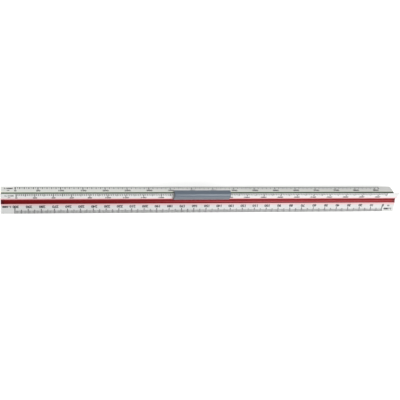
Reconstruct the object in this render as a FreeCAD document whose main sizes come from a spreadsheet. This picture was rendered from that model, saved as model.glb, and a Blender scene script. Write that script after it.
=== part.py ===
import FreeCAD, Part
import Sketcher

import math
import os

# Triangular scale ruler: a three-armed plastic bar, its three coloured channel strips and a sliding grip clip.
# Frame: X along the ruler, +Z up, origin under the middle of the ruler, in the plane that two of its edges
# rest on. Millimetres.

VECTOR = FreeCAD.Vector
ORIGIN_POINT = (-1, 1)
VERTICAL_AXIS = -2
START = 1
END = 2
CENTRE = 3

DIMENSIONS = {
    # the bar: an equilateral triangle with a recess along each side
    "overall_length": 321.2,
    "side_width": 21.8,
    "tip_radius": 0.12,
    "tip_land": 0.5,
    "facet_depth": 2.4,
    # the round channel at the bottom of each recess, and the coloured strip that lines it
    "channel_chord": 4.96,
    "channel_radius": 2.87,
    "strip_thickness": 0.5,
    # the grip clip, an arch over the top arm on two springy legs; its heights are above the resting plane
    "clip_length": 45.0,
    "clip_offset": -5.45,
    "crown_radius": 3.1,
    "crown_height": 17.3,
    "clip_wall": 1.0,
    "shoulder_halfwidth": 3.4,
    "shoulder_height": 12.6,
    "throat_halfwidth": 2.28,
    "throat_height": 10.45,
    "lip_radius": 0.4,
    "lip_halfwidth": 2.29,
    "lip_height": 9.37,
    "leg_corner_radius": 1.4,
    "clip_edge_radius": 0.3,
}

CENTROID_HEIGHT = "Sizes.side_width / (2 * sqrt(3))"
CUT_MARGIN = 1.0
MIN_CUT_VOLUME = 0.5

# how far each side of the bar is turned about X from the one that faces down
STRIP_TURNS = {
    "blue_channel_strip": 0,
    "red_channel_strip": -120,
    "green_channel_strip": 120,
}


# ---- document helpers ----

def make_sheet(doc):
    """The driving dimensions, one named cell each."""
    sheet = doc.addObject("Spreadsheet::Sheet", "Sizes")
    for row, (alias, value) in enumerate(DIMENSIONS.items(), start=1):
        sheet.set(f"A{row}", alias)
        sheet.set(f"B{row}", str(value))
        sheet.setAlias(f"B{row}", alias)
    doc.recompute()


def make_body(doc, name):
    body = doc.addObject("PartDesign::Body", name)
    body.Label = name
    return body


def origin_feature(body, role):
    return next(item for item in body.Origin.OriginFeatures if item.Role == role)


def make_sketch(body, name, plane_role):
    sketch = body.newObject("Sketcher::SketchObject", name)
    sketch.AttachmentSupport = [(origin_feature(body, plane_role), "")]
    sketch.MapMode = "FlatFace"
    return sketch


def line(sketch, start, end):
    return sketch.addGeometry(Part.LineSegment(VECTOR(*start, 0), VECTOR(*end, 0)), False)


def arc(sketch, centre, radius, start_angle, end_angle):
    circle = Part.Circle(VECTOR(*centre, 0), VECTOR(0, 0, 1), radius)
    return sketch.addGeometry(Part.ArcOfCircle(circle, start_angle, end_angle), False)


def fix(sketch, *constraint):
    return sketch.addConstraint(Sketcher.Constraint(*constraint))


def dimension(sketch, name, expression, *constraint):
    """A constraint whose value follows an expression of the sheet's cells."""
    index = fix(sketch, *constraint)
    sketch.renameConstraint(index, name)
    sketch.setExpression("Constraints." + name, expression)


def join(sketch, *ends):
    """Each entry joins one curve's end to another's."""
    for first, first_end, second, second_end in ends:
        fix(sketch, "Coincident", first, first_end, second, second_end)


def add_extrusion(body, kind, name, sketch, length):
    """A Pad or Pocket of the sketch, by half its length to each side."""
    feature = body.newObject("PartDesign::" + kind, name)
    feature.Profile = sketch
    feature.Midplane = True
    feature.setExpression("Length", length)
    return feature


def check_cut(doc, feature):
    """A pocket that points away from the solid cuts nothing and reports nothing."""
    doc.recompute()
    removed = feature.BaseFeature.Shape.Volume - feature.Shape.Volume
    if removed < MIN_CUT_VOLUME:
        raise RuntimeError(f"{feature.Label} cuts only {removed:.3f} mm3")


# ---- the bar and its strips, drawn about the bar's own axis ----

def set_about_axis(body, turn_degrees):
    """Turns a body about the bar's axis, and lifts that axis to its height above the resting plane."""
    body.Placement = FreeCAD.Placement(VECTOR(0, 0, 0), FreeCAD.Rotation(VECTOR(1, 0, 0), turn_degrees))
    body.setExpression("Placement.Base.z", CENTROID_HEIGHT)


def triangle_sketch(body):
    """The bar's outline before its sides are recessed."""
    half = DIMENSIONS["side_width"] / 2
    below = half / math.sqrt(3)
    left_tip = (-half, -below)
    right_tip = (half, -below)
    top_tip = (0, 2 * below)
    sketch = make_sketch(body, "triangle_section", "YZ_Plane")
    base = line(sketch, left_tip, right_tip)
    right = line(sketch, right_tip, top_tip)
    left = line(sketch, top_tip, left_tip)
    join(sketch, (base, END, right, START), (right, END, left, START), (left, END, base, START))
    fix(sketch, "Horizontal", base)
    fix(sketch, "Equal", base, right)
    fix(sketch, "Equal", base, left)
    fix(sketch, "PointOnObject", right, END, VERTICAL_AXIS)
    dimension(sketch, "side", "Sizes.side_width", "Distance", base, 2 * half)
    dimension(sketch, "axis_height", CENTROID_HEIGHT, "DistanceY", base, START, *ORIGIN_POINT, below)
    return sketch


def channel_geometry():
    """Starting places for the curves of the channel in the side that faces down."""
    half_chord = DIMENSIONS["channel_chord"] / 2
    radius = DIMENSIONS["channel_radius"]
    mouth_height = DIMENSIONS["facet_depth"] - DIMENSIONS["side_width"] / (2 * math.sqrt(3))
    start_angle = math.acos(half_chord / radius)
    centre_height = mouth_height - radius * math.sin(start_angle)
    return half_chord, mouth_height, centre_height, start_angle


def radial_point(centre_height, radius, angle, side):
    return (side * radius * math.cos(angle), centre_height + radius * math.sin(angle))


def recess_sketch(body):
    """One side's recess: two facets that lean inwards, and the round channel between them."""
    half_chord, mouth_height, centre_height, angle = channel_geometry()
    bed_radius = DIMENSIONS["channel_radius"] + DIMENSIONS["strip_thickness"]
    half_base = DIMENSIONS["side_width"] / 2 - DIMENSIONS["tip_land"]
    base_height = mouth_height - DIMENSIONS["facet_depth"]
    left_bed = radial_point(centre_height, bed_radius, angle, -1)
    right_bed = radial_point(centre_height, bed_radius, angle, 1)
    sketch = make_sketch(body, "side_recess_section", "YZ_Plane")
    base = line(sketch, (half_base, base_height), (-half_base, base_height))
    left_facet = line(sketch, (-half_base, base_height), (-half_chord, mouth_height))
    left_edge = line(sketch, (-half_chord, mouth_height), left_bed)
    bed = arc(sketch, (0, centre_height), bed_radius, angle, math.pi - angle)
    right_edge = line(sketch, right_bed, (half_chord, mouth_height))
    right_facet = line(sketch, (half_chord, mouth_height), (half_base, base_height))
    join(
        sketch,
        (base, END, left_facet, START),
        (left_facet, END, left_edge, START),
        (left_edge, END, bed, END),
        (bed, START, right_edge, START),
        (right_edge, END, right_facet, START),
        (right_facet, END, base, START),
    )
    fix(sketch, "Symmetric", base, START, base, END, VERTICAL_AXIS)
    fix(sketch, "Symmetric", left_edge, START, right_edge, END, VERTICAL_AXIS)
    fix(sketch, "PointOnObject", bed, CENTRE, VERTICAL_AXIS)
    fix(sketch, "PointOnObject", bed, CENTRE, left_edge)
    fix(sketch, "PointOnObject", bed, CENTRE, right_edge)
    radius = DIMENSIONS["channel_radius"]
    dimension(sketch, "base_width", "Sizes.side_width - 2 * Sizes.tip_land", "Distance", base, 2 * half_base)
    dimension(sketch, "axis_height", CENTROID_HEIGHT, "DistanceY", base, START, *ORIGIN_POINT, -base_height)
    dimension(
        sketch, "depth", "Sizes.facet_depth", "DistanceY",
        left_facet, START, left_facet, END, DIMENSIONS["facet_depth"],
    )
    dimension(
        sketch, "mouth", "Sizes.channel_chord", "DistanceX",
        left_edge, START, right_edge, END, 2 * half_chord,
    )
    dimension(sketch, "mouth_radius", "Sizes.channel_radius", "Distance", bed, CENTRE, left_edge, START, radius)
    dimension(
        sketch, "bed_radius", "Sizes.channel_radius + Sizes.strip_thickness", "Radius", bed, bed_radius,
    )
    return sketch


def make_ruler_body(doc):
    """The white bar: a triangular extrusion with blunt tips and the same recess along all three sides."""
    body = make_body(doc, "ruler_body")
    bar = add_extrusion(body, "Pad", "bar", triangle_sketch(body), "Sizes.overall_length")
    doc.recompute()
    tips = body.newObject("PartDesign::Fillet", "blunt_tips")
    tips.Base = (bar, long_edges(bar.Shape))
    tips.setExpression("Radius", "Sizes.tip_radius")
    recess = add_extrusion(body, "Pocket", "side_recess", recess_sketch(body), "Sizes.overall_length + 2")
    check_cut(doc, recess)
    sides = body.newObject("PartDesign::PolarPattern", "three_sides")
    sides.Originals = [recess]
    sides.Axis = (origin_feature(body, "X_Axis"), [""])
    sides.Angle = 360
    sides.Occurrences = len(STRIP_TURNS)
    body.Tip = sides
    set_about_axis(body, 0)


def long_edges(shape):
    """Names of the straight edges that run the whole length of a solid."""
    length = shape.BoundBox.XLength
    return [f"Edge{i}" for i, edge in enumerate(shape.Edges, start=1) if abs(edge.Length - length) < 1e-6]


def strip_sketch(body):
    """A band that lines the channel from mouth to mouth."""
    half_chord, mouth_height, centre_height, angle = channel_geometry()
    face_radius = DIMENSIONS["channel_radius"]
    bed_radius = face_radius + DIMENSIONS["strip_thickness"]
    left_bed = radial_point(centre_height, bed_radius, angle, -1)
    right_bed = radial_point(centre_height, bed_radius, angle, 1)
    sketch = make_sketch(body, "strip_section", "YZ_Plane")
    face = arc(sketch, (0, centre_height), face_radius, angle, math.pi - angle)
    bed = arc(sketch, (0, centre_height), bed_radius, angle, math.pi - angle)
    left_edge = line(sketch, (-half_chord, mouth_height), left_bed)
    right_edge = line(sketch, (half_chord, mouth_height), right_bed)
    join(
        sketch,
        (face, END, left_edge, START),
        (left_edge, END, bed, END),
        (bed, START, right_edge, END),
        (right_edge, START, face, START),
        (face, CENTRE, bed, CENTRE),
    )
    fix(sketch, "Symmetric", left_edge, START, right_edge, START, VERTICAL_AXIS)
    fix(sketch, "PointOnObject", face, CENTRE, left_edge)
    fix(sketch, "PointOnObject", face, CENTRE, right_edge)
    dimension(
        sketch, "mouth", "Sizes.channel_chord", "DistanceX",
        left_edge, START, right_edge, START, 2 * half_chord,
    )
    dimension(
        sketch, "mouth_height", CENTROID_HEIGHT + " - Sizes.facet_depth", "DistanceY",
        left_edge, START, *ORIGIN_POINT, -mouth_height,
    )
    dimension(sketch, "face_radius", "Sizes.channel_radius", "Radius", face, face_radius)
    dimension(
        sketch, "bed_radius", "Sizes.channel_radius + Sizes.strip_thickness", "Radius", bed, bed_radius,
    )
    return sketch


def make_channel_strip(doc, name, turn_degrees):
    body = make_body(doc, name)
    add_extrusion(body, "Pad", name + "_band", strip_sketch(body), "Sizes.overall_length")
    set_about_axis(body, turn_degrees)


# ---- the grip clip ----

def tangent_angle(centre, radius, point, side):
    """Angle on a circle where a tangent to an outside point touches it, on the given side."""
    offset = (point[0] - centre[0], point[1] - centre[1])
    spread = math.acos(radius / math.hypot(*offset))
    return math.atan2(offset[1], offset[0]) + side * spread


def circle_point(centre, radius, angle):
    return (centre[0] + radius * math.cos(angle), centre[1] + radius * math.sin(angle))


def clip_sketch(body):
    """Half of the clip's section: crown, side, leg that leans inwards, round lip and inner faces."""
    outer = DIMENSIONS["crown_radius"]
    inner = outer - DIMENSIONS["clip_wall"]
    crown = (0, DIMENSIONS["crown_height"])
    shoulder = (DIMENSIONS["shoulder_halfwidth"], DIMENSIONS["shoulder_height"])
    throat = (DIMENSIONS["throat_halfwidth"], DIMENSIONS["throat_height"])
    lip = (DIMENSIONS["lip_halfwidth"], DIMENSIONS["lip_height"])
    lip_radius = DIMENSIONS["lip_radius"]
    side_angle = tangent_angle(crown, outer, shoulder, 1)
    outer_angle = tangent_angle(lip, lip_radius, shoulder, -1)
    inner_angle = tangent_angle(lip, lip_radius, throat, 1)
    inner_shoulder = (shoulder[0] - DIMENSIONS["clip_wall"] / math.cos(side_angle), shoulder[1])
    lip_outside = circle_point(lip, lip_radius, outer_angle)
    lip_inside = circle_point(lip, lip_radius, inner_angle)
    sketch = make_sketch(body, "half_section", "YZ_Plane")
    crown_top = line(sketch, (0, crown[1] + inner), (0, crown[1] + outer))
    crown_outside = arc(sketch, crown, outer, side_angle, math.pi / 2)
    side_outside = line(sketch, circle_point(crown, outer, side_angle), shoulder)
    leg_outside = line(sketch, shoulder, lip_outside)
    lip_round = arc(sketch, lip, lip_radius, inner_angle, outer_angle + 2 * math.pi)
    hook = line(sketch, lip_inside, throat)
    leg_inside = line(sketch, throat, inner_shoulder)
    side_inside = line(sketch, inner_shoulder, circle_point(crown, inner, side_angle))
    crown_inside = arc(sketch, crown, inner, side_angle, math.pi / 2)
    join(
        sketch,
        (crown_top, END, crown_outside, END),
        (side_outside, END, leg_outside, START),
        (hook, END, leg_inside, START),
        (leg_inside, END, side_inside, START),
        (crown_inside, END, crown_top, START),
        (crown_inside, CENTRE, crown_outside, CENTRE),
    )
    fix(sketch, "Tangent", leg_outside, END, lip_round, END)
    fix(sketch, "Tangent", hook, START, lip_round, START)
    fix(sketch, "PointOnObject", crown_top, START, VERTICAL_AXIS)
    fix(sketch, "PointOnObject", crown_top, END, VERTICAL_AXIS)
    fix(sketch, "PointOnObject", crown_outside, CENTRE, VERTICAL_AXIS)
    fix(sketch, "Tangent", side_outside, START, crown_outside, START)
    fix(sketch, "Tangent", side_inside, END, crown_inside, START)
    fix(sketch, "Parallel", side_outside, side_inside)
    fix(sketch, "Horizontal", side_outside, END, side_inside, START)
    dimension(sketch, "outer_radius", "Sizes.crown_radius", "Radius", crown_outside, outer)
    dimension(
        sketch, "inner_radius", "Sizes.crown_radius - Sizes.clip_wall", "Radius", crown_inside, inner,
    )
    heights = {
        "crown_height": (crown_outside, CENTRE),
        "shoulder_height": (side_outside, END),
        "throat_height": (hook, END),
        "lip_height": (lip_round, CENTRE),
    }
    for name, point in heights.items():
        dimension(sketch, name, "Sizes." + name, "DistanceY", *ORIGIN_POINT, *point, DIMENSIONS[name])
    widths = {
        "shoulder_halfwidth": (side_outside, END),
        "throat_halfwidth": (hook, END),
        "lip_halfwidth": (lip_round, CENTRE),
    }
    for name, point in widths.items():
        dimension(sketch, name, "Sizes." + name, "DistanceX", *ORIGIN_POINT, *point, DIMENSIONS[name])
    dimension(sketch, "lip_radius", "Sizes.lip_radius", "Radius", lip_round, lip_radius)
    return sketch


def leg_corner_sketch(body):
    """The waste outside a rounded corner, at both ends of the legs."""
    radius = DIMENSIONS["leg_corner_radius"]
    end = DIMENSIONS["clip_length"] / 2
    foot = DIMENSIONS["lip_height"] - DIMENSIONS["lip_radius"]
    sketch = make_sketch(body, "leg_corner_waste", "XZ_Plane")
    for side, word in ((-1, "left"), (1, "right")):
        centre = (side * (end - radius), foot + radius)
        under = (centre[0], foot - CUT_MARGIN)
        outside = (side * (end + CUT_MARGIN), centre[1])
        corner_angles = (-math.pi / 2, 0) if side > 0 else (math.pi, 3 * math.pi / 2)
        lower_end, upper_end = (START, END) if side > 0 else (END, START)
        down = line(sketch, (centre[0], foot), under)
        along = line(sketch, under, (outside[0], under[1]))
        up = line(sketch, (outside[0], under[1]), outside)
        back = line(sketch, outside, (side * end, centre[1]))
        corner = arc(sketch, centre, radius, *corner_angles)
        join(
            sketch,
            (down, END, along, START),
            (along, END, up, START),
            (up, END, back, START),
            (back, END, corner, upper_end),
            (corner, lower_end, down, START),
        )
        fix(sketch, "Vertical", down)
        fix(sketch, "Horizontal", along)
        fix(sketch, "Vertical", up)
        fix(sketch, "Horizontal", back)
        fix(sketch, "Horizontal", corner, CENTRE, corner, upper_end)
        fix(sketch, "Vertical", corner, CENTRE, corner, lower_end)
        fix(sketch, "Distance", down, CUT_MARGIN)
        fix(sketch, "Distance", back, CUT_MARGIN)
        dimension(sketch, word + "_radius", "Sizes.leg_corner_radius", "Radius", corner, radius)
        span = (*ORIGIN_POINT, back, END) if side > 0 else (back, END, *ORIGIN_POINT)
        dimension(sketch, word + "_end", "Sizes.clip_length / 2", "DistanceX", *span, end)
        dimension(
            sketch, word + "_foot", "Sizes.lip_height - Sizes.lip_radius", "DistanceY",
            *ORIGIN_POINT, down, START, foot,
        )
    return sketch


def outer_end_edges(shape):
    """Names of the edges where the clip's outer skin meets its two ends, the tiny ones round the lips left out."""
    skin_middle = DIMENSIONS["crown_radius"] - DIMENSIONS["clip_wall"] / 2
    lip_top = DIMENSIONS["lip_height"] + DIMENSIONS["lip_radius"]
    names = []
    for i, edge in enumerate(shape.Edges, start=1):
        middle = edge.valueAt((edge.FirstParameter + edge.LastParameter) / 2)
        above_crown = max(middle.z - DIMENSIONS["crown_height"], 0)
        at_end = abs(abs(middle.x) - DIMENSIONS["clip_length"] / 2) < 1e-6
        if at_end and middle.z > lip_top and math.hypot(middle.y, above_crown) > skin_middle:
            names.append(f"Edge{i}")
    return names


def make_grip_clip(doc):
    body = make_body(doc, "grip_clip")
    half = add_extrusion(body, "Pad", "half_arch", clip_sketch(body), "Sizes.clip_length")
    doc.recompute()
    arch = body.newObject("PartDesign::Mirrored", "whole_arch")
    arch.Originals = [half]
    arch.MirrorPlane = (origin_feature(body, "XZ_Plane"), [""])
    body.Tip = arch
    doc.recompute()
    edges = body.newObject("PartDesign::Fillet", "soft_ends")
    edges.Base = (arch, outer_end_edges(arch.Shape))
    edges.setExpression("Radius", "Sizes.clip_edge_radius")
    doc.recompute()
    corners = add_extrusion(
        body, "Pocket", "leg_corners", leg_corner_sketch(body), "2 * Sizes.shoulder_halfwidth + 2",
    )
    check_cut(doc, corners)
    body.setExpression("Placement.Base.x", "Sizes.clip_offset")


# ---- checks and files ----

def check_document(doc):
    for item in doc.Objects:
        if "Invalid" in item.State or "Error" in item.State:
            raise RuntimeError(f"{item.Label} failed: {item.State}")
        if item.isDerivedFrom("Sketcher::SketchObject") and not item.FullyConstrained:
            raise RuntimeError(f"{item.Label} is not fully constrained")


def write_parts(doc):
    os.makedirs("parts", exist_ok=True)
    for body in doc.findObjects("PartDesign::Body"):
        shape = body.Shape
        if shape.isNull() or not shape.isValid() or len(shape.Solids) != 1:
            raise RuntimeError(f"{body.Label} is not one valid solid")
        shape.exportStep(f"parts/{body.Label}.step")
        print(f"{body.Label}: {shape.Volume:.1f} mm3, {shape.BoundBox}")


def main():
    doc = FreeCAD.newDocument("triangular_scale_ruler")
    make_sheet(doc)
    make_ruler_body(doc)
    for name, turn_degrees in STRIP_TURNS.items():
        make_channel_strip(doc, name, turn_degrees)
    make_grip_clip(doc)
    doc.recompute()
    check_document(doc)
    write_parts(doc)


main()
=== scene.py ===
# Triangular scale ruler with a sliding grip clip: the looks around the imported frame. Metres, +Z up.

import math

import bmesh
import bpy
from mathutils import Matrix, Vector


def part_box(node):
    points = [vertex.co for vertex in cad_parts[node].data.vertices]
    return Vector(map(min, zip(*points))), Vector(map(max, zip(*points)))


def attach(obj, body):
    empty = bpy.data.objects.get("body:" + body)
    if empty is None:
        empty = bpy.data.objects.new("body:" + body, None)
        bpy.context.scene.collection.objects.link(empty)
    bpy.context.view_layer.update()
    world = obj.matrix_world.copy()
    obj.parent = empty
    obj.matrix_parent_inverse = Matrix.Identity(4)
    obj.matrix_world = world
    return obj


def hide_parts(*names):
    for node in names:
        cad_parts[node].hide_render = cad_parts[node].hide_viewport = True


MM = 0.001
# angles in degrees, in the YZ plane seen with +Z up
DOWN, UP, FULL_TURN = -90, 90, 360

# ---- section of the bar, as the frame has it ----
SIDE_WIDTH = 21.8 * MM
TIP_RADIUS = 0.12 * MM
TIP_LAND = 0.5 * MM
FACET_DEPTH = 2.4 * MM
CHANNEL_CHORD = 4.96 * MM
CHANNEL_RADIUS = 2.87 * MM
STRIP_THICKNESS = 0.5 * MM
AXIS_HEIGHT = SIDE_WIDTH / (2 * math.sqrt(3))
SIDE_TURNS = {"under": 0.0, "front": -120.0, "back": 120.0}
BAR_SPANS = 80
END_BEVEL = 0.09 * MM
TIP_ARC = (150, 270)
TIP_POINTS = 5
BED_POINTS = 25
STRIP_POINTS = 33
BAR_SMOOTH_ANGLE = 20
SMOOTH_ANGLE = 30

# ---- colours of the bar and its strips ----
# most of a noise's values lie between these two
NOISE_LOW, NOISE_HIGH = 0.3, 0.7
WHITE_DARKER = (0.77, 0.775, 0.76)
WHITE_PALER = (0.83, 0.835, 0.825)
WHITE_CLOUDS = {"scale": 60, "detail": 3}
WHITE_STREAKS = {"scale": 500, "detail": 4, "roughness": 0.6, "stretch": (0.03, 1, 1)}
WHITE_STREAK_DEPTH = 0.004 * MM
WHITE_WAVES = {"scale": 180}
WHITE_WAVE_DEPTH = 0.01 * MM
WHITE_ROUGHNESS = (0.38, 0.52)
WHITE_IOR = 1.49
SPECKS = {"scale": 2500}
SPECK_STOPS = [(0.27, 0.6), (0.33, 1.0)]
SPECK_STRENGTH = 0.3
# grime sets in towards the tips, between these distances from the bar's axis
GRIME_REACH = (10.8 * MM, 12.6 * MM)
GRIME_STRENGTH = 0.3
GRIME_COLOUR = (0.55, 0.54, 0.49)
# each strip's name, its paler and darker colour, and the tint of its gloss
STRIPS = {
    "under": ("blue", (0.03, 0.1, 0.4), (0.02, 0.08, 0.32), (0.3, 0.5, 1.0)),
    "front": ("red", (0.25, 0.004, 0.006), (0.18, 0.002, 0.003), (1.0, 0.3, 0.33)),
    "back": ("green", (0.062, 0.112, 0.046), (0.043, 0.086, 0.033), (0.7, 1.0, 0.7)),
}
STRIP_STREAKS = {"scale": 700, "detail": 4, "roughness": 0.6, "stretch": (0.02, 1, 1)}
STRIP_STREAK_DEPTH = 0.005 * MM
STRIP_WAVES = {"scale": 260}
STRIP_WAVE_DEPTH = 0.008 * MM
STRIP_ROUGHNESS = (0.22, 0.31)
STRIP_IOR = 1.66
# painted shade: the strips darken between these distances from the bar's ends
STRIP_END_SHADE_FADE = (3.0 * MM, 2.0 * MM)
STRIP_END_SHADE_STRENGTH = 0.7
STRIP_END_SHADE_DARKNESS = 0.25
# painted reflection: the colour that light bouncing off each strip lends the white beside it, how far from
# the channel's mouth it reaches, and how far out from the axis a point lies on that side of the bar
STRIP_REFLECTIONS = {"under": (0.7, 0.74, 0.85), "front": (0.97, 0.48, 0.5), "back": (0.97, 1.0, 0.87)}
STRIP_REFLECTION_REACH = 2.2 * MM
STRIP_REFLECTION_STRENGTH = 0.9
STRIP_REFLECTION_SIDE_FADE = (2.8 * MM, 3.4 * MM)
MOUTH_REACH = math.hypot(CHANNEL_CHORD / 2, AXIS_HEIGHT - FACET_DEPTH)

# ---- section of the clip ----
CROWN_RADIUS = 3.1 * MM
CROWN_HEIGHT = 17.3 * MM
CLIP_WALL = 1.0 * MM
SHOULDER = Vector((3.4 * MM, 12.6 * MM))
THROAT = Vector((2.28 * MM, 10.45 * MM))
LIP_CENTRE = Vector((2.29 * MM, 9.37 * MM))
LIP_RADIUS = 0.4 * MM
LEG_CORNER_RADIUS = 1.4 * MM
CLIP_BEVEL = 0.28 * MM
BEVEL_STEPS = 5
HALF_SPANS = 24
CROWN_POINTS = 25
LIP_POINTS = 9
LOWER_WALL_POINTS = 10
UPPER_WALL_POINTS = 8
THROAT_POINTS = 4
INNER_WALL_POINTS = 6

# ---- colours of the clip; each fade starts and is full at the given heights or distances ----
CLIP_DARKER = (0.13, 0.163, 0.206)
CLIP_PALER = (0.146, 0.181, 0.227)
CLIP_MOTTLE = {"scale": 240, "detail": 3, "stretch": (0.3, 1, 1)}
CLIP_GRAIN = {"scale": 5200}
CLIP_GRAIN_DEPTH = 0.0025 * MM
CLIP_WAVES = {"scale": 150, "stretch": (0.3, 1, 1)}
CLIP_WAVE_DEPTH = 0.003 * MM
CLIP_GLOSS = {"scale": 420, "detail": 3}
CLIP_ROUGHNESS = (0.21, 0.26)
CLIP_IOR = 1.6
# painted highlight: the crown's top is painted paler, as if lit from above
CROWN_HIGHLIGHT_FADE = (19.0 * MM, 21.7 * MM)
CROWN_HIGHLIGHT_STRENGTH = 0.3
CROWN_HIGHLIGHT_COLOUR = (0.235, 0.27, 0.31)
# painted shade: the walls just below the crown are painted darker
WALL_SHADE_FADE = (18.7 * MM, 17.9 * MM)
WALL_SHADE_STRENGTH = 0.45
WALL_SHADE_COLOUR = (0.08, 0.09, 0.115)
# painted reflection: the front wall is reddened towards its lower edge, standing in for the red channel's
# reflected light
RED_REFLECTION_FADE = (16.0 * MM, 10.5 * MM)
RED_REFLECTION_FRONT_FADE = (-2.0 * MM, -3.0 * MM)
RED_REFLECTION_STRENGTH = 0.6
RED_REFLECTION_COLOUR = (0.24, 0.09, 0.13)
# painted shade on the cut end faces, by their distance from the clip's ends
CLIP_END_SHADE_FADE = (0.03 * MM, 0.01 * MM)
CLIP_END_SHADE_STRENGTH = 0.95
CLIP_END_SHADE_COLOUR = (0.02, 0.02, 0.023)

# ---- print ----
INK_THICKNESS = 0.02 * MM
INK_SUNK = 0.008 * MM
TICK_COVER = 0.46
WIDEST_TICK = 0.6 * MM
MARK_STRETCH = 1.35
TICK_OVERHANG = 0.25 * MM
FINE_TICK = 2.5 * MM
MIDDLE_TICK = 3.2 * MM
LONG_TICK = 4.0 * MM
END_TICK = 6.3 * MM
FIGURE_HEIGHT = 2.15 * MM
FIGURE_PITCH = 1.55 * MM
FIGURE_STRETCH = 1.15
FIGURE_LINE = 5.7 * MM
NAME_HEIGHT = 1.65 * MM
NAME_PITCH = 1.14 * MM
NAME_LINE = 2.3 * MM
NAME_INSET = 5.3 * MM
UNIT_LINE = 5.1 * MM
FAR_NAME_INSET = 6.0 * MM
GLYPHS = "0123456789:m"
FIGURE_BOLDNESS = 0.045
NAME_BOLDNESS = 0.08
GLYPH_RESOLUTION = 2
GLYPH_MERGE_DISTANCE = 0.0005
INK_DARKER = (0.02, 0.02, 0.022)
INK_PALER = (0.06, 0.06, 0.065)
INK_PALER_AT = 0.75
INK_PATCHES = {"scale": 1800, "detail": 3}
INK_GLOSS = {"scale": 2600}
INK_ROUGHNESS = (0.45, 0.6)

# side, tip it runs along, ratio, metres per tick, ticks per middle mark, ticks per long mark, last metre,
# how far the zero is from the bar's end, and how far the figures stand past their long marks
SCALES = (
    ("front", 1, 1000, 1, 5, 10, 300, 10.6 * MM, -0.6 * MM),
    ("front", -1, 1440, 2, 5, 10, 430, 11.6 * MM, 0.15 * MM),
    ("back", -1, 2880, 5, 2, 10, 860, 10.8 * MM, 0.15 * MM),
    ("back", 1, 2000, 2, 5, 10, 600, 10.6 * MM, 0.15 * MM),
    ("under", 1, 2500, 5, 2, 10, 750, 10.6 * MM, 0.15 * MM),
    ("under", -1, 500, 0.5, 2, 10, 150, 10.6 * MM, 0.15 * MM),
)
FAR_NAME_RATIO = 1000

# ---- camera: fitted to the figures and the bar's ends in the photograph, turned in degrees ----
CAMERA_PLACE = Vector((-0.14464, -0.17411, 0.67544))
CAMERA_TURN = (14.742, -10.987, -3.076)
CAMERA_LENS = 79.43

# ---- stage: softboxes as (X, Y, Z), (width, height) and watts ----
FLOOR_REACH = 14.0
FLOOR_GAP = 0.02 * MM
FLOOR_GLOW = 0.46
FLOOR_CLOUDS = {"scale": 8}
FLOOR_GREYS = (0.93, 0.95)
FLOOR_ROUGHNESS = 0.9
FRONT_SOFTBOX_PLACE = (0.34, -0.49, 0.57)
FRONT_SOFTBOX_SIZE = (0.5, 0.42)
FRONT_SOFTBOX_POWER = 4.5
FRONT_SOFTBOX_COLOUR = (0.98, 0.99, 1.0)
BACK_SOFTBOX_PLACE = (-0.45, 0.6, 0.5)
BACK_SOFTBOX_SIZE = (0.6, 0.6)
BACK_SOFTBOX_POWER = 3.8
BACK_SOFTBOX_COLOUR = (1.0, 1.0, 0.97)
WORLD_STRENGTH = 0.22


# ---- outlines in the YZ plane ----

def arc_points(centre, radius, start, end, count):
    """Points along an arc between two angles in degrees, both ends included."""
    points = []
    for i in range(count):
        angle = math.radians(start + (end - start) * i / (count - 1))
        points.append(Vector((centre[0] + radius * math.cos(angle), centre[1] + radius * math.sin(angle))))
    return points


def line_points(start, end, count):
    """Points along a straight line, the last one left out."""
    return [start.lerp(end, i / count) for i in range(count)]


def turned(point, degrees):
    """Turns a point about the bar's axis, and lifts it from the axis's frame into the row's."""
    angle = math.radians(degrees)
    y = point[0] * math.cos(angle) - point[1] * math.sin(angle)
    z = point[0] * math.sin(angle) + point[1] * math.cos(angle)
    return Vector((y, z + AXIS_HEIGHT))


def channel_arc(radius, count):
    """The channel's arc on the side that faces down, from its -Y mouth to its +Y mouth."""
    half_chord = CHANNEL_CHORD / 2
    drop = math.sqrt(CHANNEL_RADIUS ** 2 - half_chord ** 2)
    centre = Vector((0, FACET_DEPTH - AXIS_HEIGHT - drop))
    mouth = math.degrees(math.acos(half_chord / CHANNEL_RADIUS))
    return arc_points(centre, radius, 180 - mouth, mouth, count)


def bar_outline():
    """The bar's whole section: for each side a rounded tip, a facet, the strip's bed and the other facet."""
    half = SIDE_WIDTH / 2
    base = -AXIS_HEIGHT
    tip_centre = Vector((-half + TIP_RADIUS * math.sqrt(3), base + TIP_RADIUS))
    outline = []
    for degrees in SIDE_TURNS.values():
        side = arc_points(tip_centre, TIP_RADIUS, *TIP_ARC, TIP_POINTS)
        side.append(Vector((-half + TIP_LAND, base)))
        side.append(Vector((-CHANNEL_CHORD / 2, base + FACET_DEPTH)))
        side += channel_arc(CHANNEL_RADIUS + STRIP_THICKNESS, BED_POINTS)
        side.append(Vector((CHANNEL_CHORD / 2, base + FACET_DEPTH)))
        side.append(Vector((half - TIP_LAND, base)))
        outline.append([turned(point, degrees) for point in side])
    under, front, back = outline
    return under + back + front


def strip_outline(degrees):
    """A band between the channel's face and its bed."""
    face = channel_arc(CHANNEL_RADIUS, STRIP_POINTS)
    bed = channel_arc(CHANNEL_RADIUS + STRIP_THICKNESS, STRIP_POINTS)
    return [turned(point, degrees) for point in face + bed[::-1]]


# ---- meshes ----

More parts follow.
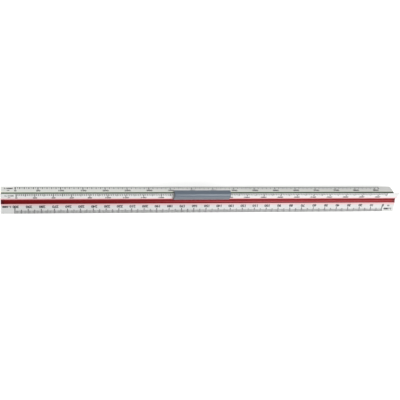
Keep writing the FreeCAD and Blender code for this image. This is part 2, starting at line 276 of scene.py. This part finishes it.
def new_piece(name, vertices, faces, material, slot, body="root", smooth_angle=SMOOTH_ANGLE):
    """A mesh on a body. Without a smooth angle it is flat shaded, and its faces already face outwards."""
    mesh = bpy.data.meshes.new(name)
    mesh.from_pydata(vertices, [], faces)
    if smooth_angle:
        work = bmesh.new()
        work.from_mesh(mesh)
        bmesh.ops.recalc_face_normals(work, faces=work.faces)
        work.to_mesh(mesh)
        work.free()
        mesh.polygons.foreach_set("use_smooth", [True] * len(mesh.polygons))
        mesh.set_sharp_from_angle(angle=math.radians(smooth_angle))
    mesh.materials.append(material)
    piece = bpy.data.objects.new(name, mesh)
    bpy.context.scene.collection.objects.link(piece)
    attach(piece, body)
    return piece


def inset(outline, distance):
    """Moves each point of a closed outline inwards, square to the outline."""
    count = len(outline)
    area = sum(outline[i - 1].x * outline[i].y - outline[i].x * outline[i - 1].y for i in range(count))
    turn = 1 if area > 0 else -1
    moved = []
    for i, point in enumerate(outline):
        before = (point - outline[i - 1]).normalized()
        after = (outline[(i + 1) % count] - point).normalized()
        along = (before + after).normalized()
        moved.append(point + turn * distance * Vector((-along.y, along.x)))
    return moved


def ring_faces(ring_count, count):
    """Four-sided faces between closed rings of points that follow one another."""
    faces = []
    for r in range(ring_count - 1):
        for i in range(count):
            near, far = r * count, (r + 1) * count
            j = (i + 1) % count
            faces.append((near + i, near + j, far + j, far + i))
    return faces


def extruded(outline, low, high, bevel, spans):
    """Vertices and faces of a prism along X with bevelled ends, cut into spans."""
    small = inset(outline, bevel)
    rings = [(low, small), (low + bevel, outline)]
    rings += [(low + (high - low) * i / spans, outline) for i in range(1, spans)]
    rings += [(high - bevel, outline), (high, small)]
    count = len(outline)
    vertices = [(x, point.x, point.y) for x, ring in rings for point in ring]
    faces = ring_faces(len(rings), count)
    last = (len(rings) - 1) * count
    faces.append(tuple(range(count)))
    faces.append(tuple(range(last + count - 1, last - 1, -1)))
    return vertices, faces


# ---- the clip ----

def tangent_angle(centre, radius, point, side):
    """Angle in degrees where a tangent from a point touches a circle."""
    offset = point - centre
    spread = math.acos(radius / offset.length)
    return math.degrees(math.atan2(offset.y, offset.x) + side * spread)


def clip_skins():
    """Half of the clip's outer and inner skins, from the lip to the crown, with equal counts of points."""
    inner_radius = CROWN_RADIUS - CLIP_WALL
    crown = Vector((0, CROWN_HEIGHT))
    side_angle = tangent_angle(crown, CROWN_RADIUS, SHOULDER, 1)
    inner_shoulder = SHOULDER - Vector((CLIP_WALL / math.cos(math.radians(side_angle)), 0))
    outer_touch = tangent_angle(LIP_CENTRE, LIP_RADIUS, SHOULDER, -1)
    inner_touch = tangent_angle(LIP_CENTRE, LIP_RADIUS, THROAT, 1)
    outer_crown = arc_points(crown, CROWN_RADIUS, side_angle, UP, CROWN_POINTS)
    inner_crown = arc_points(crown, inner_radius, side_angle, UP, CROWN_POINTS)
    outer = arc_points(LIP_CENTRE, LIP_RADIUS, DOWN, outer_touch, LIP_POINTS)
    outer += line_points(outer[-1], SHOULDER, LOWER_WALL_POINTS)[1:]
    outer += line_points(SHOULDER, outer_crown[0], UPPER_WALL_POINTS)
    inner = arc_points(LIP_CENTRE, LIP_RADIUS, DOWN, inner_touch - FULL_TURN, LIP_POINTS)
    inner += line_points(inner[-1], THROAT, THROAT_POINTS)[1:]
    inner += line_points(THROAT, inner_shoulder, INNER_WALL_POINTS)
    inner += line_points(inner_shoulder, inner_crown[0], UPPER_WALL_POINTS)
    return outer + outer_crown, inner + inner_crown


def mirrored(half):
    """A half skin continued down its other side."""
    return half + [Vector((-point.x, point.y)) for point in half[-2::-1]]


def corner_trim(height):
    """How much shorter the clip is at a height, where the leg's corner is rounded."""
    rise = max(0.0, height - (LIP_CENTRE.y - LIP_RADIUS))
    if rise >= LEG_CORNER_RADIUS:
        return 0.0
    return LEG_CORNER_RADIUS - math.sqrt(LEG_CORNER_RADIUS ** 2 - (LEG_CORNER_RADIUS - rise) ** 2)


def clip_rings(low, high):
    """The clip's closed section at each station along X, with rounded outer edges and leg corners."""
    outer_half, inner_half = clip_skins()
    outer = mirrored(outer_half)
    inner = mirrored(inner_half)
    loop = outer + inner[-2:0:-1]
    sunk_loop = inset(loop, CLIP_BEVEL)
    # each station's distance from the clip's end, and how far its outer skin is sunk
    stations = []
    for i in range(BEVEL_STEPS + 1):
        angle = math.radians(90 * i / BEVEL_STEPS)
        stations.append((CLIP_BEVEL * (1 - math.cos(angle)), 1 - math.sin(angle)))
    half_length = (high - low) / 2
    stations += [(CLIP_BEVEL + (half_length - CLIP_BEVEL) * i / HALF_SPANS, 0) for i in range(1, HALF_SPANS)]
    rings = []
    for end in (-1, 1):
        side = []
        for back, sink in stations:
            ring = []
            for k, point in enumerate(loop):
                place = point.lerp(sunk_loop[k], sink) if k < len(outer) else point
                reach = (half_length - back) * (1 - corner_trim(point.y) / half_length)
                ring.append(((low + high) / 2 + end * reach, place.x, place.y))
            side.append(ring)
        rings += side if end < 0 else side[::-1]
    return rings, len(outer)


def make_clip(material):
    """The grip clip: a springy arch with hooked lips."""
    low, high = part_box("grip_clip")
    rings, outer_count = clip_rings(low.x, high.x)
    count = len(rings[0])
    vertices = [vertex for ring in rings for vertex in ring]
    faces = ring_faces(len(rings), count)

    def inner_index(i):
        """The point of the inner skin opposite a point of the outer one; the lips' ends are shared."""
        return i if i in (0, outer_count - 1) else 2 * outer_count - 2 - i

    for start in (0, (len(rings) - 1) * count):
        for i in range(outer_count - 1):
            corners = dict.fromkeys((i, i + 1, inner_index(i + 1), inner_index(i)))
            faces.append(tuple(start + corner for corner in corners))
    clip = new_piece("clip_shell", vertices, faces, material, "clip_plastic", body="clip")
    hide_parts("grip_clip")


# ---- the print ----

def glyph_meshes(boldness):
    """Each glyph's vertices and faces, one unit thick and closed."""
    glyphs = {}
    for glyph in GLYPHS:
        curve = bpy.data.curves.new("glyph", "FONT")
        curve.body = glyph
        curve.resolution_u = GLYPH_RESOLUTION
        curve.offset = boldness
        holder = bpy.data.objects.new("glyph", curve)
        mesh = bpy.data.meshes.new_from_object(holder)
        work = bmesh.new()
        work.from_mesh(mesh)
        bmesh.ops.remove_doubles(work, verts=work.verts, dist=GLYPH_MERGE_DISTANCE)
        work.verts.index_update()
        count = len(work.verts)
        vertices = [vertex.co + Vector((0, 0, lift)) for lift in (0, 1) for vertex in work.verts]
        faces = []
        for face in work.faces:
            corners = [vertex.index for vertex in face.verts]
            faces.append(tuple(count + corner for corner in corners))
            faces.append(tuple(reversed(corners)))
        for edge in work.edges:
            if edge.is_boundary:
                loop = edge.link_loops[0]
                first, last = loop.vert.index, loop.link_loop_next.vert.index
                faces.append((first, last, count + last, count + first))
        work.free()
        bpy.data.objects.remove(holder)
        bpy.data.curves.remove(curve)
        bpy.data.meshes.remove(mesh)
        glyphs[glyph] = (vertices, faces)
    return glyphs


class Facet:
    """One of the six scale facets: where its print goes, and the direction it is read in."""

    def __init__(self, side, tip, zero_inset):
        degrees = SIDE_TURNS[side]
        half = SIDE_WIDTH / 2
        edge = turned(Vector((tip * (half - TIP_LAND), -AXIS_HEIGHT)), degrees)
        mouth = turned(Vector((tip * CHANNEL_CHORD / 2, FACET_DEPTH - AXIS_HEIGHT)), degrees)
        axis = Vector((0, 0, AXIS_HEIGHT))
        self.edge = Vector((0, edge.x, edge.y))
        self.up = (self.edge - Vector((0, mouth.x, mouth.y))).normalized()
        normal = self.up.cross(Vector((1, 0, 0)))
        outwards = (self.edge - axis) - self.up * (self.edge - axis).dot(self.up)
        self.normal = normal if normal.dot(outwards) > 0 else -normal
        self.right = self.up.cross(self.normal)
        self.zero = -self.right.x * (BAR_HIGH.x - zero_inset)
        side_normal = turned(Vector((0, -1)), degrees)
        self.land_normal = Vector((0, side_normal.x, side_normal.y - AXIS_HEIGHT))
        self.land_up = self.land_normal.cross(self.right)

    def point(self, along, below, lift):
        """A place past the scale's zero, below the facet's outer edge, and lifted off the facet.

        A place above the edge lies on the tip's land.
        """
        up, normal = (self.land_up, self.land_normal) if below < 0 else (self.up, self.normal)
        place = self.edge + self.right * along - up * below + normal * lift
        place.x += self.zero
        return place


def add_tick(ink, facet, along, length, width):
    """A thin closed bar of ink that runs from the tip's land down the facet."""
    vertices, faces = ink
    first = len(vertices)
    left, right = along - width / 2, along + width / 2
    for below in (-TICK_OVERHANG, 0.0, length):
        for across, lift in ((left, 0), (right, 0), (right, INK_THICKNESS), (left, INK_THICKNESS)):
            vertices.append(facet.point(across, below, lift - INK_SUNK))
    for start in (first, first + 4):
        for i in range(4):
            j = (i + 1) % 4
            faces.append((start + i, start + j, start + 4 + j, start + 4 + i))
    faces.append((first + 3, first + 2, first + 1, first))
    faces.append((first + 8, first + 9, first + 10, first + 11))


def add_text(ink, facet, text, glyphs, along, below, height, pitch):
    """A line of figures, centred on a point of the facet."""
    vertices, faces = ink
    tallest = max(vertex.y for vertex in glyphs["0"][0])
    scale = height / tallest
    for i, glyph in enumerate(text):
        glyph_vertices, glyph_faces = glyphs[glyph]
        xs = [vertex.x for vertex in glyph_vertices]
        middle = (min(xs) + max(xs)) / 2
        centre = along + (i - (len(text) - 1) / 2) * pitch
        first = len(vertices)
        for vertex in glyph_vertices:
            lift = vertex.z * INK_THICKNESS - INK_SUNK
            across = centre + (vertex.x - middle) * scale * FIGURE_STRETCH
            vertices.append(facet.point(across, below - vertex.y * scale + height / 2, lift))
        faces += [tuple(first + corner for corner in face) for face in glyph_faces]


def make_scale(row, glyphs, bold_glyphs, material):
    """One facet's ticks and figures, with the ratio and its unit at the zero end."""
    side, tip, ratio, metres, middle_every, long_every, last, zero_inset, figure_shift = row
    facet = Facet(side, tip, zero_inset)
    tick_pitch = metres / ratio
    tick_count = round(last / metres)
    fine_width = min(TICK_COVER * tick_pitch, WIDEST_TICK)
    ticks = ([], [])
    figures = ([], [])
    for i in range(tick_count + 1):
        width = fine_width * MARK_STRETCH
        if i in (0, tick_count):
            length = END_TICK if ratio == FAR_NAME_RATIO else LONG_TICK
        elif i % long_every == 0:
            length = LONG_TICK
        elif i % middle_every == 0:
            length = MIDDLE_TICK
        else:
            length, width = FINE_TICK, fine_width
        add_tick(ticks, facet, i * tick_pitch, length, width)
        if i % long_every == 0:
            label = str(round(i * metres))
            place = i * tick_pitch + figure_shift
            add_text(figures, facet, label, glyphs, place, FIGURE_LINE, FIGURE_HEIGHT, FIGURE_PITCH)
    name = f"1:{ratio}"
    add_text(figures, facet, name, bold_glyphs, -NAME_INSET, NAME_LINE, NAME_HEIGHT, NAME_PITCH)
    add_text(figures, facet, "m", glyphs, -NAME_INSET, UNIT_LINE, NAME_HEIGHT, NAME_PITCH)
    if ratio == FAR_NAME_RATIO:
        far = last / ratio + FAR_NAME_INSET
        add_text(figures, facet, name, bold_glyphs, far, FIGURE_LINE, NAME_HEIGHT, NAME_PITCH)
    for word, ink in (("ticks", ticks), ("figures", figures)):
        new_piece(f"scale_{ratio}_{word}", *ink, material, "black_ink", smooth_angle=None)


# ---- materials ----

class Nodes:
    """A material's node tree, built one short line at a time."""

    def __init__(self, name):
        self.material = bpy.data.materials.new(name)
        self.material.use_nodes = True
        self.tree = self.material.node_tree
        self.shader = self.tree.nodes["Principled BSDF"]
        self.place = self.add("ShaderNodeTexCoord").outputs["Object"]

    def add(self, kind, **settings):
        node = self.tree.nodes.new(kind)
        for key, value in settings.items():
            setattr(node, key, value)
        return node

    def link(self, source, target):
        self.tree.links.new(source, target)

    def noise(self, scale, detail=2.0, roughness=0.5, stretch=(1, 1, 1)):
        mapping = self.add("ShaderNodeMapping")
        mapping.inputs["Scale"].default_value = stretch
        self.link(self.place, mapping.inputs["Vector"])
        noise = self.add("ShaderNodeTexNoise")
        noise.inputs["Scale"].default_value = scale
        noise.inputs["Detail"].default_value = detail
        noise.inputs["Roughness"].default_value = roughness
        self.link(mapping.outputs["Vector"], noise.inputs["Vector"])
        return noise.outputs["Fac"]

    def ramp(self, factor, stops):
        """stops: two pairs of a position and a colour or grey."""
        ramp = self.add("ShaderNodeValToRGB")
        for element, (position, value) in zip(ramp.color_ramp.elements, stops):
            element.position = position
            colour = value if isinstance(value, tuple) else (value, value, value)
            element.color = (*colour, 1.0)
        self.link(factor, ramp.inputs["Fac"])
        return ramp.outputs["Color"]

    def mix(self, factor, first, second, mode="MIX"):
        mix = self.add("ShaderNodeMix", data_type="RGBA", blend_type=mode)
        for key, value in (("Factor", factor), ("A", first), ("B", second)):
            kind = "VALUE" if key == "Factor" else "RGBA"
            socket = next(s for s in mix.inputs if s.name == key and s.type == kind)
            if isinstance(value, (int, float)):
                socket.default_value = value
            elif isinstance(value, tuple):
                socket.default_value = (*value, 1.0)
            else:
                self.link(value, socket)
        return next(s for s in mix.outputs if s.type == "RGBA")

    def range(self, value, start_and_end, to_low, to_high):
        """Maps the values from start to end onto a new range, and holds them at its ends."""
        node = self.add("ShaderNodeMapRange")
        low, high = start_and_end
        for key, number in (("From Min", low), ("From Max", high), ("To Min", to_low), ("To Max", to_high)):
            node.inputs[key].default_value = number
        self.link(value, node.inputs["Value"])
        return node.outputs["Result"]

    def product(self, first, second):
        node = self.add("ShaderNodeMath", operation="MULTIPLY")
        self.link(first, node.inputs[0])
        self.link(second, node.inputs[1])
        return node.outputs["Value"]

    def magnitude(self, value):
        """A value without its sign."""
        node = self.add("ShaderNodeMath", operation="ABSOLUTE")
        self.link(value, node.inputs[0])
        return node.outputs["Value"]

    def bump(self, layers):
        """layers: (height, distance) pairs, stacked."""
        normal = None
        for height, distance in layers:
            node = self.add("ShaderNodeBump")
            node.inputs["Distance"].default_value = distance
            self.link(height, node.inputs["Height"])
            if normal:
                self.link(normal, node.inputs["Normal"])
            normal = node.outputs["Normal"]
        self.link(normal, self.shader.inputs["Normal"])

    def coordinates(self):
        """Sockets X, Y and Z of the place on the part."""
        node = self.add("ShaderNodeSeparateXYZ")
        self.link(self.place, node.inputs["Vector"])
        return node.outputs

    def from_axis(self):
        """The place, measured from the bar's long axis."""
        offset = self.add("ShaderNodeVectorMath", operation="SUBTRACT")
        offset.inputs[1].default_value = (0, 0, AXIS_HEIGHT)
        self.link(self.place, offset.inputs[0])
        return offset.outputs["Vector"]

    def height_along(self, direction):
        """How far a point stands from the bar's long axis in a direction."""
        dot = self.add("ShaderNodeVectorMath", operation="DOT_PRODUCT")
        dot.inputs[1].default_value = direction
        self.link(self.from_axis(), dot.inputs[0])
        return dot.outputs["Value"]

    def axis_distance(self):
        """Distance from the bar's long axis."""
        flat = self.add("ShaderNodeVectorMath", operation="MULTIPLY")
        flat.inputs[1].default_value = (0, 1, 1)
        self.link(self.from_axis(), flat.inputs[0])
        length = self.add("ShaderNodeVectorMath", operation="LENGTH")
        self.link(flat.outputs["Vector"], length.inputs[0])
        return length.outputs["Value"]

    def finish(self, colour, roughness_noise, roughness, ior=None):
        """Links the colour, and a roughness that varies with a noise; the index of refraction is even."""
        self.link(colour, self.shader.inputs["Base Color"])
        varied = self.range(roughness_noise, (NOISE_LOW, NOISE_HIGH), *roughness)
        self.link(varied, self.shader.inputs["Roughness"])
        if ior:
            self.shader.inputs["IOR"].default_value = ior
        return self.material


def white_plastic():
    """Extruded white bar: faint clouds, drawn streaks, handling grime, and painted reflections of the
    strips' colours on the white beside them.
    """
    nodes = Nodes("white_plastic")
    clouds = nodes.ramp(nodes.noise(**WHITE_CLOUDS), [(NOISE_LOW, WHITE_DARKER), (NOISE_HIGH, WHITE_PALER)])
    specks = nodes.ramp(nodes.noise(**SPECKS), SPECK_STOPS)
    colour = nodes.mix(SPECK_STRENGTH, clouds, specks, "MULTIPLY")
    reach = nodes.axis_distance()
    grime = nodes.range(reach, GRIME_REACH, 0.0, GRIME_STRENGTH)
    colour = nodes.mix(grime, colour, GRIME_COLOUR)
    # painted reflection: the white near each channel's mouth is tinted with its strip's colour
    reflection_near_mouth = nodes.range(reach, (MOUTH_REACH, MOUTH_REACH + STRIP_REFLECTION_REACH), 1.0, 0.0)
    for side, tint in STRIP_REFLECTIONS.items():
        outwards = turned(Vector((0, -1)), SIDE_TURNS[side]) - Vector((0, AXIS_HEIGHT))
        height = nodes.height_along((0, outwards.x, outwards.y))
        reflection_on_side = nodes.range(height, STRIP_REFLECTION_SIDE_FADE, 0.0, STRIP_REFLECTION_STRENGTH)
        colour = nodes.mix(nodes.product(reflection_near_mouth, reflection_on_side), colour, tint)
    streaks = nodes.noise(**WHITE_STREAKS)
    nodes.bump([(streaks, WHITE_STREAK_DEPTH), (nodes.noise(**WHITE_WAVES), WHITE_WAVE_DEPTH)])
    return nodes.finish(colour, streaks, WHITE_ROUGHNESS, WHITE_IOR)


def strip_plastic(name, light, dark, gloss_tint):
    """Coloured channel lining: drawn streaks along the bar, and painted shade darkening it at the sawn ends.
    """
    nodes = Nodes(name)
    streaks = nodes.noise(**STRIP_STREAKS)
    colour = nodes.ramp(streaks, [(NOISE_LOW, dark), (NOISE_HIGH, light)])
    # painted shade: the strip darkens towards the bar's ends
    end_shade_fade = [BAR_HIGH.x - distance for distance in STRIP_END_SHADE_FADE]
    end = nodes.range(nodes.magnitude(nodes.coordinates()["X"]), end_shade_fade, 0.0, STRIP_END_SHADE_STRENGTH)
    end_shaded = nodes.mix(end, colour, tuple(value * STRIP_END_SHADE_DARKNESS for value in dark))
    nodes.bump([(streaks, STRIP_STREAK_DEPTH), (nodes.noise(**STRIP_WAVES), STRIP_WAVE_DEPTH)])
    nodes.shader.inputs["Specular Tint"].default_value = (*gloss_tint, 1.0)
    return nodes.finish(end_shaded, streaks, STRIP_ROUGHNESS, STRIP_IOR)


def clip_plastic():
    """Moulded blue-grey clip: soft mottling, fine grain, a painted highlight on the crown, painted shade on
    the walls and the end faces, and a painted red reflection low on the front wall.
    """
    low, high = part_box("grip_clip")
    nodes = Nodes("clip_plastic")
    mottle = nodes.noise(**CLIP_MOTTLE)
    colour = nodes.ramp(mottle, [(NOISE_LOW, CLIP_DARKER), (NOISE_HIGH, CLIP_PALER)])
    place = nodes.coordinates()
    # painted highlight on the crown's top
    crown_highlight = nodes.range(place["Z"], CROWN_HIGHLIGHT_FADE, 0.0, CROWN_HIGHLIGHT_STRENGTH)
    colour = nodes.mix(crown_highlight, colour, CROWN_HIGHLIGHT_COLOUR)
    # painted shade on the walls below the crown
    wall = nodes.range(place["Z"], WALL_SHADE_FADE, 0.0, WALL_SHADE_STRENGTH)
    colour = nodes.mix(wall, colour, WALL_SHADE_COLOUR)
    # painted reflection of the red channel, low on the front wall
    red_reflection_low = nodes.range(place["Z"], RED_REFLECTION_FADE, 0.0, RED_REFLECTION_STRENGTH)
    red_reflection_front = nodes.range(place["Y"], RED_REFLECTION_FRONT_FADE, 0.0, 1.0)
    colour = nodes.mix(nodes.product(red_reflection_low, red_reflection_front), colour, RED_REFLECTION_COLOUR)
    # painted shade: the cut end faces are painted dark
    from_middle = nodes.add("ShaderNodeMath", operation="SUBTRACT")
    from_middle.inputs[1].default_value = (low.x + high.x) / 2
    nodes.link(place["X"], from_middle.inputs[0])
    end_shade_fade = [(high.x - low.x) / 2 - distance for distance in CLIP_END_SHADE_FADE]
    end = nodes.range(nodes.magnitude(from_middle.outputs["Value"]), end_shade_fade, 0.0, CLIP_END_SHADE_STRENGTH)
    colour = nodes.mix(end, colour, CLIP_END_SHADE_COLOUR)
    nodes.bump([(nodes.noise(**CLIP_GRAIN), CLIP_GRAIN_DEPTH), (nodes.noise(**CLIP_WAVES), CLIP_WAVE_DEPTH)])
    return nodes.finish(colour, nodes.noise(**CLIP_GLOSS), CLIP_ROUGHNESS, CLIP_IOR)


def black_ink():
    """Printed ink, a little greyer in places."""
    nodes = Nodes("black_ink")
    colour = nodes.ramp(nodes.noise(**INK_PATCHES), [(NOISE_LOW, INK_DARKER), (INK_PALER_AT, INK_PALER)])
    return nodes.finish(colour, nodes.noise(**INK_GLOSS), INK_ROUGHNESS)


def floor_white():
    """The floor: white, and lit a little from within so that shadows stay faint."""
    nodes = Nodes("floor_white")
    darker, paler = FLOOR_GREYS
    colour = nodes.ramp(nodes.noise(**FLOOR_CLOUDS), [(NOISE_LOW, darker), (NOISE_HIGH, paler)])
    nodes.link(colour, nodes.shader.inputs["Base Color"])
    nodes.shader.inputs["Roughness"].default_value = FLOOR_ROUGHNESS
    nodes.shader.inputs["Emission Color"].default_value = (1, 1, 1, 1)
    nodes.shader.inputs["Emission Strength"].default_value = FLOOR_GLOW
    return nodes.material


# ---- stage ----

def make_floor():
    """A wide flat floor, just under the part."""
    vertices = [(-FLOOR_REACH, -FLOOR_REACH, 0), (FLOOR_REACH, -FLOOR_REACH, 0)]
    vertices += [(FLOOR_REACH, FLOOR_REACH, 0), (-FLOOR_REACH, FLOOR_REACH, 0)]
    mesh = bpy.data.meshes.new("floor")
    mesh.from_pydata(vertices, [], [(0, 1, 2, 3)])
    mesh.materials.append(floor_white())
    floor = bpy.data.objects.new("floor", mesh)
    floor.location.z = -FLOOR_GAP
    bpy.context.scene.collection.objects.link(floor)


def make_camera():
    data = bpy.data.cameras.new("camera")
    data.lens = CAMERA_LENS
    camera = bpy.data.objects.new("camera", data)
    camera.location = CAMERA_PLACE
    camera.rotation_euler = [math.radians(angle) for angle in CAMERA_TURN]
    bpy.context.scene.collection.objects.link(camera)
    bpy.context.scene.camera = camera


def add_softbox(name, place, size, power, colour):
    """A rectangular area light aimed at the ruler's middle."""
    data = bpy.data.lights.new(name, "AREA")
    data.shape = "RECTANGLE"
    data.size, data.size_y = size
    data.energy = power
    data.color = colour
    light = bpy.data.objects.new(name, data)
    light.location = place
    light.rotation_euler = (-Vector(place)).to_track_quat("-Z", "Y").to_euler()
    light.visible_camera = False
    bpy.context.scene.collection.objects.link(light)


def make_lights():
    add_softbox(
        "front_softbox", FRONT_SOFTBOX_PLACE, FRONT_SOFTBOX_SIZE, FRONT_SOFTBOX_POWER, FRONT_SOFTBOX_COLOUR
    )
    add_softbox(
        "back_softbox", BACK_SOFTBOX_PLACE, BACK_SOFTBOX_SIZE, BACK_SOFTBOX_POWER, BACK_SOFTBOX_COLOUR
    )
    world = bpy.data.worlds.new("studio")
    world.use_nodes = True
    background = world.node_tree.nodes["Background"]
    background.inputs["Color"].default_value = (1, 1, 1, 1)
    background.inputs["Strength"].default_value = WORLD_STRENGTH
    bpy.context.scene.world = world
    bpy.context.scene.view_settings.view_transform = "Standard"


def make_bar():
    vertices, faces = extruded(bar_outline(), BAR_LOW.x, BAR_HIGH.x, END_BEVEL, BAR_SPANS)
    material = white_plastic()
    bar = new_piece("ruler_bar", vertices, faces, material, "white_plastic", smooth_angle=BAR_SMOOTH_ANGLE)
    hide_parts("ruler_body")


def make_strips():
    for side, (word, light, dark, gloss_tint) in STRIPS.items():
        node = f"{word}_channel_strip"
        low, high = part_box(node)
        vertices, faces = extruded(strip_outline(SIDE_TURNS[side]), low.x, high.x, END_BEVEL, BAR_SPANS)
        slot = f"{word}_plastic"
        material = strip_plastic(slot, light, dark, gloss_tint)
        strip = new_piece(f"{word}_lining", vertices, faces, material, slot)
        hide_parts(node)


def make_print():
    glyphs = glyph_meshes(FIGURE_BOLDNESS)
    bold_glyphs = glyph_meshes(NAME_BOLDNESS)
    ink = black_ink()
    for row in SCALES:
        make_scale(row, glyphs, bold_glyphs, ink)


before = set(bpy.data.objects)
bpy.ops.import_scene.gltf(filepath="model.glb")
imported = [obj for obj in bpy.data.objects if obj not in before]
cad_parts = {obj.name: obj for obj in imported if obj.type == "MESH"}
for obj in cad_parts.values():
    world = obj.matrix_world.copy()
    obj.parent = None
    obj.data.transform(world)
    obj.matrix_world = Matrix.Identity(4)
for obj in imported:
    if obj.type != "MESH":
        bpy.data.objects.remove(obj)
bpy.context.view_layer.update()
BAR_LOW, BAR_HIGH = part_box("ruler_body")

make_camera()
make_lights()
make_floor()
make_bar()
make_strips()
make_clip(clip_plastic())
make_print()
